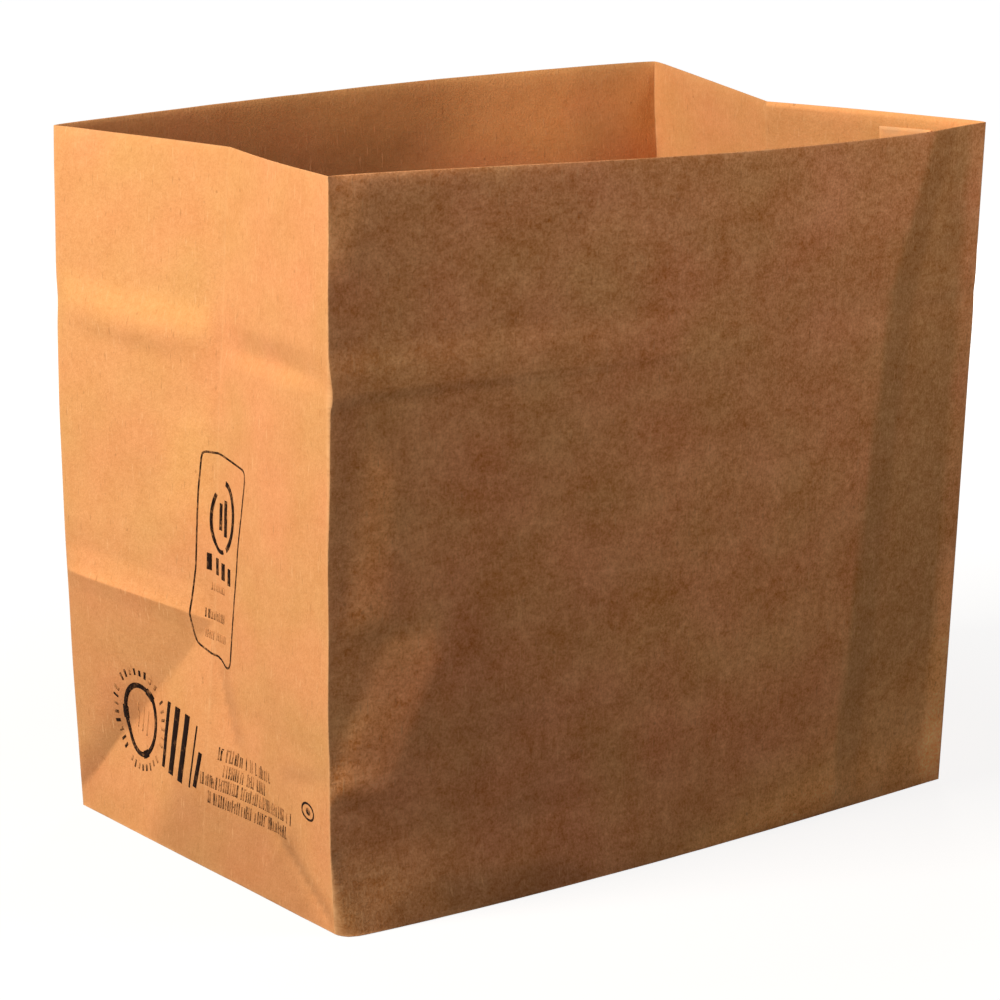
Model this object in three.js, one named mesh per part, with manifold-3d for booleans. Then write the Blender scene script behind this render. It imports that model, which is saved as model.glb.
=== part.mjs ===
import * as THREE from 'three';
import { mergeVertices } from 'three/addons/utils/BufferGeometryUtils.js';
import Module from 'manifold-3d';

// An open block-bottom bag, folded from one sheet of brown kraft paper.
// Millimetres, +Z up. The origin is the middle of the bottom, on the surface the bag stands on.
// The front panel faces -Y, and the two gussets face -X and +X.

// The sheet and the folded sizes
const bagWidth = 260;
const bagDepth = 170;
const bagHeight = 245;
const paperThickness = 0.12;

// The bottom: two long flaps lapped over two end flaps
const flapOverlap = 24;
const flapRamp = 3;
const foldInset = 0.5;

// The lap seam, a second ply inside the front half of the right gusset
const seamWidth = 20;
const seamFromCorner = 21;
const seamBelowRim = 5;
const plyEdge = 0.2;

// The crosswise bend left by folding the flat bag once for packing
const packBendFromRim = 63;
const packBendBelow = 5;
const packBendAbove = 9;
const packBendLift = 1;

// The four upright folds: where the foot and the rim end of each lie from the true corner,
// how far the rim there rises above the height, and how far the fold swells out and where
const frontLeft = {
  side: -1, end: -1, footX: -0.8, footY: 0.5, rimX: 5.2, rimY: 3.9, rise: 1.2, swell: 2, swellAt: 0.3,
};
const frontRight = {
  side: 1, end: -1, footX: 1.5, footY: 1.8, rimX: 9.8, rimY: -7.6, rise: -4.2, swell: 0.3, swellAt: 0.4,
};
const backRight = {
  side: 1, end: 1, footX: 0.5, footY: -1.5, rimX: -3.1, rimY: -6.6, rise: 2.6, swell: 2, swellAt: 0.45,
};
const backLeft = {
  side: -1, end: 1, footX: -1.5, footY: -3.5, rimX: -0.3, rimY: -0.2, rise: 0.3, swell: 2.6, swellAt: 0.5,
};

// How far each wide panel bows out at the bottom and at the rim, and where along its width.
// The rim sags in the middle, the front panel's foot flares out over a few millimetres, and the
// back panel is dented along the fold that the flat bag's bottom was turned up on
const frontBow = { base: 5.6, baseAt: 0.42, rim: 12, rimAt: 0.6, sag: 1.2, flare: 5.2, dent: 0 };
const backBow = { base: 2, baseAt: 0.5, rim: 8, rimAt: 0.45, sag: -0.6, flare: 0, dent: 2 };
const flareHeight = 12;
const flareRounding = 1.5;

// How far each gusset's crease is pushed in at the top of its triangle and at the rim
const leftGusset = { apexDepth: 9.3, rimDepth: 17.4, creaseRise: -0.1, belly: 1.2 };
const rightGusset = { apexDepth: 8, rimDepth: 22.3, creaseRise: -3.1, belly: 1.5 };

// Mesh steps
const triangleSteps = 6;
const panelSteps = 12;
const upperSteps = 3;

const kraft = new THREE.MeshStandardMaterial({ color: 0xb98254, roughness: 0.92, metalness: 0 });

const apexHeight = bagDepth / 2;
const packBendHeight = bagHeight - packBendFromRim;
const floorLevel = 2 * paperThickness;
const flapReach = flapOverlap / 2;
const flapDepth = bagDepth / 2 + flapReach;

const { lerp, clamp } = THREE.MathUtils;

// 0 at both ends and 1 at the place `peak` between them
function skewedArch(s, peak) {
  const skew = Math.log(0.5) / Math.log(peak);
  return Math.sin(Math.PI * Math.pow(clamp(s, 0, 1), skew));
}

// 0 away from the packing bend and 1 on its line
function bendProfile(z) {
  const below = (z - packBendHeight + packBendBelow) / packBendBelow;
  const above = (packBendHeight + packBendAbove - z) / packBendAbove;
  return clamp(Math.min(below, above), 0, 1);
}

// A point of an upright fold at height z
function uprightFold(fold, z) {
  const h = z / (bagHeight + fold.rise);
  const swelled = bagWidth / 2 + fold.swell * skewedArch(h, fold.swellAt);
  return new THREE.Vector3(
    fold.side * swelled + lerp(fold.footX, fold.rimX, h),
    fold.end * bagDepth / 2 + lerp(fold.footY, fold.rimY, h),
    z
  );
}

// A wide panel between two upright folds, bowed out along Y. s runs from the first to the second
function widePanel(start, finish, bow) {
  const outward = start.end;
  const rimHeight = (s) =>
    bagHeight + lerp(start.rise, finish.rise, s) - bow.sag * skewedArch(s, bow.rimAt);
  const point = (s, z) => {
    const h = z / rimHeight(s);
    const place = uprightFold(start, z).lerp(uprightFold(finish, z), s);
    const bowed = lerp(
      bow.base * skewedArch(s, bow.baseAt),
      bow.rim * skewedArch(s, bow.rimAt),
      h
    );
    const cornerway = 1 - Math.exp(-s * bagWidth / flareRounding);
    const flared = bow.flare * cornerway * (1 - s) * Math.exp(-z / flareHeight);
    const bent = packBendLift * bendProfile(z) * Math.sin(Math.PI * s);
    const nearFold = Math.max(0, 1 - Math.abs(z - apexHeight) / apexHeight);
    const dented = bow.dent * Math.sin(Math.PI * s) * nearFold;
    place.y += outward * (bowed + flared + bent - dented);
    return place;
  };
  return { point, rimHeight };
}

// A gusset between two upright folds, creased down its middle and over a triangle at its foot.
// s runs from the front fold to the back fold, with the crease at 0.5
function gussetPanel(front, back, gusset) {
  const inward = -front.side;
  const rimHeight = (s) => bagHeight + (s < 0.5
    ? lerp(front.rise, gusset.creaseRise, 2 * s)
    : lerp(gusset.creaseRise, back.rise, 2 * s - 1));
  const point = (s, z) => {
    const place = uprightFold(front, z).lerp(uprightFold(back, z), s);
    const inFromEdge = 1 - Math.abs(2 * s - 1);
    let depth = gusset.apexDepth * Math.min(inFromEdge, z / apexHeight);
    if (z > apexHeight) {
      const h = (z - apexHeight) / (rimHeight(s) - apexHeight);
      depth = lerp(gusset.apexDepth, gusset.rimDepth, h) * inFromEdge;
      if (s < 0.5) depth -= gusset.belly * h * Math.sin(2 * Math.PI * s);
    }
    // The bend is a valley in the front half and a ridge in the back half
    const bent = packBendLift * bendProfile(z) * Math.sin(2 * Math.PI * s);
    place.x += inward * (depth + bent);
    return place;
  };
  return { point, rimHeight };
}

const front = widePanel(frontLeft, frontRight, frontBow);
const back = widePanel(backRight, backLeft, backBow);
const left = gussetPanel(frontLeft, backLeft, leftGusset);
const right = gussetPanel(frontRight, backRight, rightGusset);

// Where the seam's second ply starts and ends, as shares of the right gusset's width
const seamStart = seamFromCorner / bagDepth;
const seamEnd = (seamFromCorner + seamWidth) / bagDepth;
const edgeShare = plyEdge / bagDepth;

// The columns of the wall, once round the bag from the front left fold
function wallColumns() {
  const columns = [];
  const add = (panel, s, seam = false) => columns.push({ panel, s, seam });
  add(front, 0);
  add(front, 2 * flareRounding / bagWidth);
  for (let i = 1; i < panelSteps; i++) add(front, i / panelSteps);
  const gussetShares = [];
  for (let i = 0; i < 2 * triangleSteps; i++) gussetShares.push(i / (2 * triangleSteps));
  const rightShares = gussetShares.map((s) => ({ s, seam: s > seamStart && s < seamEnd }));
  rightShares.push({ s: seamStart - edgeShare, seam: false }, { s: seamStart, seam: true });
  rightShares.push({ s: seamEnd, seam: true }, { s: seamEnd + edgeShare, seam: false });
  rightShares.sort((a, b) => a.s - b.s);
  for (const { s, seam } of rightShares) add(right, s, seam);
  for (let i = 0; i < panelSteps; i++) add(back, i / panelSteps);
  for (const s of gussetShares) add(left, 1 - s);
  return columns;
}

// The rows of the wall: up the gusset triangles, past the packing bend and on to the rim.
// Each row gives its height below a stretch of rim of a given height
function wallRows() {
  const rows = [];
  for (let i = 0; i <= triangleSteps; i++) {
    rows.push(() => lerp(floorLevel, apexHeight, i / triangleSteps));
  }
  const marks = [
    apexHeight,
    packBendHeight - packBendBelow,
    packBendHeight,
    packBendHeight + packBendAbove,
    bagHeight - seamBelowRim - plyEdge,
    bagHeight - seamBelowRim,
    bagHeight,
  ];
  const stretches = [upperSteps, 1, 1, upperSteps, 1, 1];
  stretches.forEach((steps, m) => {
    for (let i = 1; i <= steps; i++) {
      const nominal = lerp(marks[m], marks[m + 1], i / steps);
      const share = (nominal - apexHeight) / (bagHeight - apexHeight);
      rows.push((rim) => lerp(apexHeight, rim, share));
    }
  });
  return rows;
}

// Moves a point inwards so that it lies one or more plies from each face around it
function mitre(faceNormals, distance) {
  const sum = new THREE.Vector3();
  const spread = new Array(9).fill(0);
  for (const n of faceNormals) {
    sum.add(n);
    const c = n.toArray();
    for (let i = 0; i < 3; i++) {
      for (let j = 0; j < 3; j++) spread[3 * i + j] += c[i] * c[j];
    }
  }
  const flat = 0.02;
  const average = sum.clone().normalize();
  const system = new THREE.Matrix3().set(...spread);
  for (const d of [0, 4, 8]) system.elements[d] += flat;
  sum.addScaledVector(average, flat);
  return sum.applyMatrix3(system.invert()).multiplyScalar(-distance);
}

// Whether the fold that crosses the cells beside a column rises away from the column.
// Round the bag, each gusset's triangle rises to the crease and falls again
function foldRises({ panel, s }) {
  if (panel === right) return s < 0.5;
  if (panel === left) return s > 0.5;
  return true;
}

// The walls and the sheet of the bottom, as one closed solid of the paper's thickness
function buildShell() {
  const columns = wallColumns();
  const rows = wallRows();
  const count = columns.length;
  const seamRows = rows.length - 3;
  const outer = [];
  for (const row of rows) {
    for (const { panel, s } of columns) outer.push(panel.point(s, row(panel.rimHeight(s))));
  }
  const faces = [];
  for (let r = 0; r + 1 < rows.length; r++) {
    for (let c = 0; c < count; c++) {
      const a = r * count + c;
      const b = r * count + (c + 1) % count;
      const [d, e] = [a + count, b + count];
      if (foldRises(columns[c])) faces.push([a, b, e], [a, e, d]);
      else faces.push([a, b, d], [b, e, d]);
    }
  }
  const outline = [];
  for (let c = 0; c < count; c++) outline.push(new THREE.Vector2(outer[c].x, outer[c].y));
  const floorFaces = THREE.ShapeUtils.triangulateShape(outline, []);
  for (const [a, b, c] of floorFaces) faces.push([a, c, b]);

  const normals = outer.map(() => []);
  for (const face of faces) {
    const [p, q, r] = face.map((i) => outer[i]);
    const normal = new THREE.Vector3().crossVectors(q.clone().sub(p), r.clone().sub(p)).normalize();
    for (const i of face) normals[i].push(normal);
  }
  const inner = outer.map((point, i) => {
    const row = Math.floor(i / count);
    const plies = columns[i % count].seam && row > 0 && row <= seamRows ? 2 : 1;
    const moved = point.clone().add(mitre(normals[i], plies * paperThickness));
    if (row === rows.length - 1) moved.z = point.z;
    return moved;
  });

  const positions = [];
  for (const p of [...outer, ...inner]) positions.push(p.x, p.y, p.z);
  const shift = outer.length;
  const index = [];
  for (const [a, b, c] of faces) index.push(a, b, c, shift + a, shift + c, shift + b);
  const top = (rows.length - 1) * count;
  for (let c = 0; c < count; c++) {
    const a = top + c;
    const b = top + (c + 1) % count;
    index.push(a, b, shift + b, a, shift + b, shift + a);
  }
  const geometry = new THREE.BufferGeometry();
  geometry.setAttribute('position', new THREE.Float32BufferAttribute(positions, 3));
  geometry.setIndex(index);
  return geometry;
}

// A flat flap between two like outlines at two heights
function flapSolid(lower, lowerLevel, upper, upperLevel) {
  const count = lower.length;
  const positions = [];
  for (const p of lower) positions.push(p.x, p.y, lowerLevel);
  for (const p of upper) positions.push(p.x, p.y, upperLevel);
  const index = [];
  for (const [a, b, c] of THREE.ShapeUtils.triangulateShape(lower, [])) index.push(a, c, b);
  for (const [a, b, c] of THREE.ShapeUtils.triangulateShape(upper, [])) {
    index.push(count + a, count + b, count + c);
  }
  for (let i = 0; i < count; i++) {
    const j = (i + 1) % count;
    index.push(i, j, count + j, i, count + j, count + i);
  }
  const geometry = new THREE.BufferGeometry();
  geometry.setAttribute('position', new THREE.Float32BufferAttribute(positions, 3));
  geometry.setIndex(index);
  return geometry;
}

// How far from the middle the slanted fold at a long flap's end lies, `past` the middle line
// of the bottom. The folds run at 45 degrees from the corners until they would meet
function slantEnd(past) {
  return Math.max(bagWidth / 2 - bagDepth / 2 - past, foldInset);
}

// One long flap under the bottom, from its panel's foot to `reach` past the middle,
// with the slanted folds of the end flaps at its ends
function longFlap(panel, outward, reach) {
  const foot = [];
  for (let i = 0; i <= panelSteps; i++) foot.push(panel.point(i / panelSteps, floorLevel));
  const outline = foot.map((p) => new THREE.Vector2(
    clamp(p.x, foldInset - bagWidth / 2, bagWidth / 2 - foldInset),
    p.y - outward * foldInset
  ));
  const endX = slantEnd(reach);
  const run = Math.sign(foot[panelSteps].x - foot[0].x);
  outline.push(new THREE.Vector2(run * endX, -outward * reach));
  outline.push(new THREE.Vector2(-run * endX, -outward * reach));
  return flapSolid(outline, paperThickness, outline, floorLevel + paperThickness / 2);
}

// The band where the back flap laps over the front one and ramps down behind it
function lapBand() {
  const band = (backY) => [
    new THREE.Vector2(-slantEnd(flapReach), -flapReach),
    new THREE.Vector2(slantEnd(flapReach), -flapReach),
    new THREE.Vector2(slantEnd(-backY), backY),
    new THREE.Vector2(-slantEnd(-backY), backY),
  ];
  return flapSolid(band(flapReach), 0, band(flapReach + flapRamp), 1.5 * paperThickness);
}

// An end flap, lying inside on the bottom with its cut edge across the bag
function endFlap(side) {
  const outerX = side * (bagWidth / 2 - foldInset);
  const cutX = side * (bagWidth / 2 - flapDepth);
  const y = bagDepth / 2 - foldInset;
  const outline = [
    new THREE.Vector2(Math.min(outerX, cutX), -y),
    new THREE.Vector2(Math.max(outerX, cutX), -y),
    new THREE.Vector2(Math.max(outerX, cutX), y),
    new THREE.Vector2(Math.min(outerX, cutX), y),
  ];
  const top = floorLevel + 2 * paperThickness;
  return flapSolid(outline, floorLevel + paperThickness / 2, outline, top);
}

const wasm = await Module();
wasm.setup();

function toManifold(geometry) {
  const merged = mergeVertices(geometry, 1e-5);
  return new wasm.Manifold(new wasm.Mesh({
    numProp: 3,
    vertProperties: new Float32Array(merged.attributes.position.array),
    triVerts: new Uint32Array(merged.index.array),
  }));
}

function toGeometry(solid) {
  const mesh = solid.getMesh();
  const geometry = new THREE.BufferGeometry();
  geometry.setAttribute('position', new THREE.BufferAttribute(new Float32Array(mesh.vertProperties), 3));
  geometry.setIndex(new THREE.BufferAttribute(new Uint32Array(mesh.triVerts), 1));
  geometry.computeVertexNormals();
  return geometry;
}

let bag = toManifold(buildShell());
const flaps = [
  longFlap(front, -1, 0),
  longFlap(back, 1, 0),
  lapBand(),
  endFlap(-1),
  endFlap(1),
];
for (const flap of flaps) bag = bag.add(toManifold(flap));

const group = new THREE.Group();
const paperBag = new THREE.Mesh(toGeometry(bag), kraft);
paperBag.name = 'paper_bag';
group.add(paperBag);

export default group;
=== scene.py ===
import math
import random

import bpy
import numpy as np
from mathutils import Matrix, Vector


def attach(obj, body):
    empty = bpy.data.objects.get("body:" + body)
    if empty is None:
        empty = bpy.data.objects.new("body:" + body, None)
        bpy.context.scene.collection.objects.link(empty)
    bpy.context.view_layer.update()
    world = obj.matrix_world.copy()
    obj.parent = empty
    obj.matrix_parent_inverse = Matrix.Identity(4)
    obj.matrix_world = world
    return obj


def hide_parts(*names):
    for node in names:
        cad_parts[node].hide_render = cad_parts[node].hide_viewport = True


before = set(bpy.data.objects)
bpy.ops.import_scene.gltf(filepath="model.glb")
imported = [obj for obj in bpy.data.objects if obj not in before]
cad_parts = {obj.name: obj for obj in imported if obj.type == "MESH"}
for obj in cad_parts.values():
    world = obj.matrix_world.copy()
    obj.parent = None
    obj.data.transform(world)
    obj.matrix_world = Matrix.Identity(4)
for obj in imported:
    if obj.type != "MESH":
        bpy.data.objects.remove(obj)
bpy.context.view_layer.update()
mm = 0.001


# The folded sheet. Lengths are in millimetres, on the flat paper
sheet = {
    "width": 260, "depth": 170, "height": 245, "paper": 0.12,
    "wideStep": 3.0, "gussetStep": 2.1,   # mesh steps across the panels
    "lowStep": 2.1, "highStep": 3.4,      # and up them, below and above the gussets' triangles
    "bendStep": 1.5, "bendZone": (168, 195),
    "foldSteps": (0, 0.35, 1.0, 2.2),     # closer steps beside each fold
    "floorPlies": 2,                      # the bottom's own flaps lie under it
    "packBend": 182,                      # height of the bend that packing flat has left
    "margin": 105,                        # keeps the bottom clear of the wall on the flat sheet
    "rimCurl": 1.0, "rimCurlFrom": 3.2,   # how far the rim leans, and from how far below it
    "rimCurlFree": 2,                     # the curl fades out this near to an upright fold
    "reliefFree": 6,                      # and the reliefs this near to any fold
}

# The upright folds: foot and rim end from the true corner, and the swell between them
frontLeft = {"side": -1, "end": -1, "footX": -0.8, "footY": 0.5, "rimX": 5.2, "rimY": 3.9,
             "rise": 1.2, "swell": 2.0, "swellAt": 0.3,
             "kinks": ((179, 4, 0.4), (57, 4, 0.35)), "wobble": 0.07}
frontRight = {"side": 1, "end": -1, "footX": 1.5, "footY": 1.8, "rimX": 9.8, "rimY": -7.6,
              "rise": -4.2, "swell": 0.3, "swellAt": 0.4,
              "kinks": ((183, 7, 0.3),), "wobble": 0.12}
backRight = {"side": 1, "end": 1, "footX": 0.5, "footY": -1.5, "rimX": -3.1, "rimY": -6.6,
             "rise": 2.6, "swell": 2.0, "swellAt": 0.45,
             "kinks": ((182, 6, 0.3),), "wobble": 0.15}
backLeft = {"side": -1, "end": 1, "footX": -1.5, "footY": -3.5, "rimX": -0.3, "rimY": -0.2,
            "rise": 0.3, "swell": 2.6, "swellAt": 0.5,
            "kinks": ((185, 7, 0.3),), "wobble": 0.12}

# The panels: how far each bows and bends outwards, and where along it
frontPanel = {"start": frontLeft, "finish": frontRight, "base": 5.6, "baseAt": 0.42,
              "rim": 12, "rimAt": 0.6, "sag": 1.2, "flare": 5.2, "dent": 0,
              "bend": 2.6, "bendAt": 177.5, "bendEnd": 0.78, "bendClimb": 7, "farBend": 0.9,
              "crease": {"above": 17, "below": 4, "reach": 75, "sharp": 0.36}}
backPanel = {"start": backRight, "finish": backLeft, "base": 2, "baseAt": 0.5,
             "rim": 8, "rimAt": 0.45, "sag": -0.6, "flare": 0, "dent": 2,
             "bend": 1.2, "bendAt": 181, "bendEnd": 1.4, "bendClimb": 0, "farBend": 0,
             "crease": {"above": 12, "below": 6, "reach": 60, "sharp": 0.4}}

# The gussets: how far each is folded in, and where the triangle at its foot is creased
leftGusset = {"front": frontLeft, "back": backLeft, "apex": 9.3, "rim": 17.4,
              "creaseRise": -0.1, "belly": 1.2, "bend": 2.1, "backBend": 3.4,
              "ridge": 11.5, "crest": 85, "crestRise": 3.0, "crestLift": 0.42,
              "round": 0.35, "frontRound": 0.9,
              "foldAcross": (0, 2.5, 40, 70, 82, 85), "foldHeight": (0, 3.5, 23, 45.5, 70, 85),
              "backAcross": (0, 8, 74.5, 85), "backHeight": (0, 13, 75.5, 85),
              "dent": {"above": 10, "below": 5, "reach": 6, "sharp": 1.0},
              "crease": {"above": 13, "below": 8, "reach": 60, "sharp": 0.4}}
rightGusset = {"front": frontRight, "back": backRight, "apex": 8, "rim": 22.3,
               "creaseRise": -3.1, "belly": 1.5, "bend": 1.0, "backBend": 1.6,
               "ridge": 3.0, "crest": 85, "crestRise": 0, "crestLift": 0,
               "round": 0.7, "frontRound": 0.9,
               "foldAcross": (0, 85), "foldHeight": (0, 85), "backAcross": (0, 85), "backHeight": (0, 85),
               "dent": {"above": 10, "below": 6, "reach": 8, "sharp": 1.0},
               "crease": {"above": 12, "below": 8, "reach": 50, "sharp": 0.4}}

# The front panel's foot spreads towards its left corner
flare = {"height": 28, "rounding": 1.5, "sharp": 1.2}

# The upright folds waver by two waves of these lengths, which fade out at the ends
waver = {"waves": (7.3, 17.1), "shift": 5, "endFade": 20}

# The packing bend on the wide panels: its dip beside the first fold, and slope and start of the
# lines by which it climbs and comes back towards the other fold
packed = {"cornerDip": 2, "cornerReach": 5, "climb": (3.3, -2.3), "far": (8, -6.4)}

# The gussets' packing bend sags in the middle. The proud back facet grows from the back fold, and
# above its crease it fades by shares, each with its own reach. Within the corner's span the fold of
# the triangle is at 45 degrees, and past it the fold is taken to be at least this high
gussetBend = {"sag": 3, "climbReach": 20, "proudReach": 24, "fades": ((0.66, 45), (0.34, 5)),
              "cornerSpan": 0.5, "leastFold": 0.3}

apexHeight = sheet["depth"] / 2
floorLevel = sheet["floorPlies"] * sheet["paper"]


def mix(a, b, t):
    return a + (b - a) * t


def skewedArch(s, peak):
    return np.sin(np.pi * np.clip(s, 0, 1) ** (math.log(0.5) / math.log(peak)))


def softMin(a, b, rounding):
    return -rounding * np.log(np.exp(-a / rounding) + np.exp(-b / rounding))


def onLine(slope, start, s):
    return slope * s + start


def smoothStep(t):
    t = np.clip(t, 0, 1)
    return t * t * (3 - 2 * t)


# The crosswise bend that packing flat has left: a steep fall above the given height, and below it
# a short fall and a long one
def bendProfile(z, at, crease):
    above = smoothStep((at + crease["above"] - z) / crease["above"])
    short = smoothStep((z - at + crease["below"]) / crease["below"])
    slow = smoothStep((z - at + crease["reach"]) / crease["reach"])
    return np.where(z > at, above, mix(slow, short, crease["sharp"]))


def uprightFold(fold, z):
    h = z / (sheet["height"] + fold["rise"])
    swelled = sheet["width"] / 2 + fold["swell"] * skewedArch(h, fold["swellAt"])
    kink = sum(depth * np.exp(-((z - at) / reach) ** 2) for at, reach, depth in fold["kinks"])
    free = np.clip(np.minimum(z, sheet["height"] - z) / waver["endFade"], 0, 1)
    short, slow = waver["waves"]
    waves = np.sin(z / short + waver["shift"] * fold["swell"]) + np.sin(z / slow + fold["rimX"])
    wobble = fold["wobble"] * free * waves
    x = fold["side"] * (swelled - kink + wobble) + mix(fold["footX"], fold["rimX"], h)
    y = fold["end"] * (sheet["depth"] / 2 - kink - wobble) + mix(fold["footY"], fold["rimY"], h)
    return np.stack([x, y, z], -1)


def wideRim(panel, s):
    rise = mix(panel["start"]["rise"], panel["finish"]["rise"], s)
    return sheet["height"] + rise - panel["sag"] * skewedArch(s, panel["rimAt"])


def widePoint(panel, s, z):
    outward = panel["start"]["end"]
    h = z / wideRim(panel, s)
    place = mix(uprightFold(panel["start"], z), uprightFold(panel["finish"], z), s[..., None])
    low = panel["base"] * skewedArch(s, panel["baseAt"])
    high = panel["rim"] * skewedArch(s, panel["rimAt"])
    bowed = mix(low, high, h)
    fromCorner = s * sheet["width"]
    cornerway = 1 - np.exp(-fromCorner / flare["rounding"])
    lowness = np.clip(1 - z / flare["height"], 0, 1) ** flare["sharp"]
    flared = panel["flare"] * cornerway * (1 - s) * lowness
    at = panel["bendAt"] - packed["cornerDip"] * np.exp(-fromCorner / packed["cornerReach"])
    at = at + panel["bendClimb"] * np.clip(onLine(*packed["climb"], s), 0, 1)
    strength = panel["bend"] * np.clip(1 - s / panel["bendEnd"], 0, 1)
    strength = strength + panel["farBend"] * smoothStep(onLine(*packed["far"], s))
    bent = strength * bendProfile(z, at, panel["crease"])
    nearFold = np.clip(1 - np.abs(z - apexHeight) / apexHeight, 0, 1)
    place[..., 1] += outward * (bowed + flared + bent - panel["dent"] * np.sin(np.pi * s) * nearFold)
    return place


def gussetRim(gusset, s):
    crease = gusset["creaseRise"]
    near = mix(gusset["front"]["rise"], crease, 2 * s)
    far = mix(crease, gusset["back"]["rise"], 2 * s - 1)
    return sheet["height"] + np.where(s < 0.5, near, far)


def gussetPoint(gusset, s, z):
    inward = -gusset["front"]["side"]
    # The back facet's upper crease climbs towards the back fold
    climbing = gusset["crestRise"] * np.clip(2 * s - 1, 0, 1)
    height = z + climbing * np.exp(-((z - gusset["crest"]) / gussetBend["climbReach"]) ** 2)
    place = mix(uprightFold(gusset["front"], height), uprightFold(gusset["back"], height), s[..., None])
    inFromEdge = 1 - np.abs(2 * s - 1)
    across = inFromEdge * apexHeight
    # The triangle at the foot: its fold's height at a distance in from the upright fold
    frontFold = np.interp(across, gusset["foldAcross"], gusset["foldHeight"])
    backFold = np.interp(across, gusset["backAcross"], gusset["backHeight"])
    foldAt = np.where(s < 0.5, frontFold, backFold)
    steeper = across / np.maximum(foldAt, gussetBend["leastFold"])
    steeper = np.where(across > gussetBend["cornerSpan"], steeper, 1)
    rounding = np.where(s < 0.5, gusset["frontRound"], gusset["round"]) / apexHeight
    low = gusset["apex"] * softMin(inFromEdge, z / apexHeight * steeper, rounding)
    h = np.clip((z - apexHeight) / (gussetRim(gusset, s) - apexHeight), 0, 1)
    belly = np.where(s < 0.5, gusset["belly"] * h * np.sin(2 * np.pi * s), 0)
    high = mix(gusset["apex"], gusset["rim"], h) * inFromEdge - belly
    at = sheet["packBend"] - gussetBend["sag"] * np.sin(np.pi * s)
    dented = gusset["bend"] * bendProfile(z, at, gusset["dent"])
    ridged = gusset["backBend"] * bendProfile(z, at, gusset["crease"])
    bent = np.where(s < 0.5, dented, ridged) * np.sin(2 * np.pi * s)
    # The back facet stands proud along its upper crease
    fromBack = (1 - s) * sheet["depth"]
    climb = np.clip((np.minimum(z, gusset["crest"]) - backFold) / apexHeight, 0, 1)
    climb = climb * (1 - np.exp(-fromBack / gussetBend["proudReach"]))
    aboveFold = np.maximum(z - gusset["crest"], 0)
    fading = sum(share * np.exp(-aboveFold / reach) for share, reach in gussetBend["fades"])
    proud = np.where(s > 0.5, gusset["ridge"] * climb, 0) * fading
    place[..., 0] += inward * (np.where(z > apexHeight, high, low) + bent - proud)
    place[..., 2] += gusset["crestLift"] * proud
    return place


panels = {"front": frontPanel, "right": rightGusset, "back": backPanel, "left": leftGusset}
wideKinds = ("front", "back")


def panelPoint(kind, s, z):
    return (widePoint if kind in wideKinds else gussetPoint)(panels[kind], s, z)


def panelRim(kind, s):
    return (wideRim if kind in wideKinds else gussetRim)(panels[kind], s)


def panelWidth(kind):
    return sheet["width"] if kind in wideKinds else sheet["depth"]


# Steps along a stretch of paper between two folds, closer together beside the folds
def stepsBetween(length, step):
    fine = list(sheet["foldSteps"])
    inner = length - 2 * fine[-1]
    count = max(2, round(inner / step))
    between = [fine[-1] + inner * i / count for i in range(1, count)]
    return np.array(fine + between + [length - f for f in reversed(fine)])


# The wall's columns, once round from the front left fold: panel, share of its width, flat distance
def wallColumns():
    w, d = sheet["width"], sheet["depth"]
    wide = stepsBetween(w, sheet["wideStep"]) / w
    half = stepsBetween(d / 2, sheet["gussetStep"]) / d
    gusset = np.concatenate([half[:-1], 0.5 + half])
    columns = []
    for kind, shares, along in (
        ("front", wide, lambda s: s * w),
        ("right", gusset, lambda s: w + s * d),
        ("back", wide, lambda s: w + d + s * w),
        ("left", 1 - gusset, lambda s: 2 * w + d + (1 - s) * d),
    ):
        columns += [(kind, float(s), float(along(s))) for s in shares[:-1]]
    return columns


# The wall's rows: heights up to the top of the gussets' triangles, then shares of the way to the rim
def wallRows():
    low = stepsBetween(sheet["depth"] / 2, sheet["lowStep"])
    low[0] = floorLevel
    fine, top = sheet["foldSteps"], sheet["height"]
    stops = (apexHeight + fine[-1],) + sheet["bendZone"] + (top - fine[-1],)
    high = [apexHeight + f for f in fine[1:]]
    steps = (sheet["highStep"], sheet["bendStep"], sheet["highStep"])
    for start, finish, step in zip(stops, stops[1:], steps):
        high += list(np.linspace(start, finish, round((finish - start) / step) + 1))[1:]
    high = (np.array(high + [top - f for f in reversed(fine[:-1])]) - apexHeight) / (top - apexHeight)
    return [("low", float(z)) for z in low] + [("high", float(share)) for share in high]


# Small reliefs that the folding left in the paper. Each is a soft oval on a panel: middle across
# and up, radii, turn in degrees and height outwards, in millimetres
reliefs = {
    "front": [
        (44, 84, 12, 30, 10, 0.5), (128, 110, 14, 60, 4, 0.5), (60, 30, 26, 7, 35, 0.2),
        (70, 20, 26, 6, 35, -0.2), (82, 150, 2.6, 55, -1, -0.2), (118, 70, 5, 26, 0, 0.6),
        (168, 45, 6, 18, 10, 0.7), (8, 12, 7, 14, 20, -1.0), (18, 8, 9, 6, 0, 0.6),
    ],
    "left": [
        (152, 115, 20, 30, 10, 0.5), (40, 130, 20, 50, 0, 0.5), (85, 26, 40, 17, 0, 1.0),
        (34, 22, 3, 16, 42, 0.7), (78, 62, 2.2, 20, 10, 0.4),
        (14, 30, 16, 5, 45, -0.5), (120, 30, 22, 14, 0, -0.5),
    ],
    "right": [(40, 120, 20, 40, 5, 0.6), (130, 60, 24, 24, 0, -0.7)],
    "back": [
        (70, 120, 30, 40, 12, 0.9), (190, 60, 36, 24, -10, -0.9), (130, 86, 90, 4, 0, -0.6),
    ],
}


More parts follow.
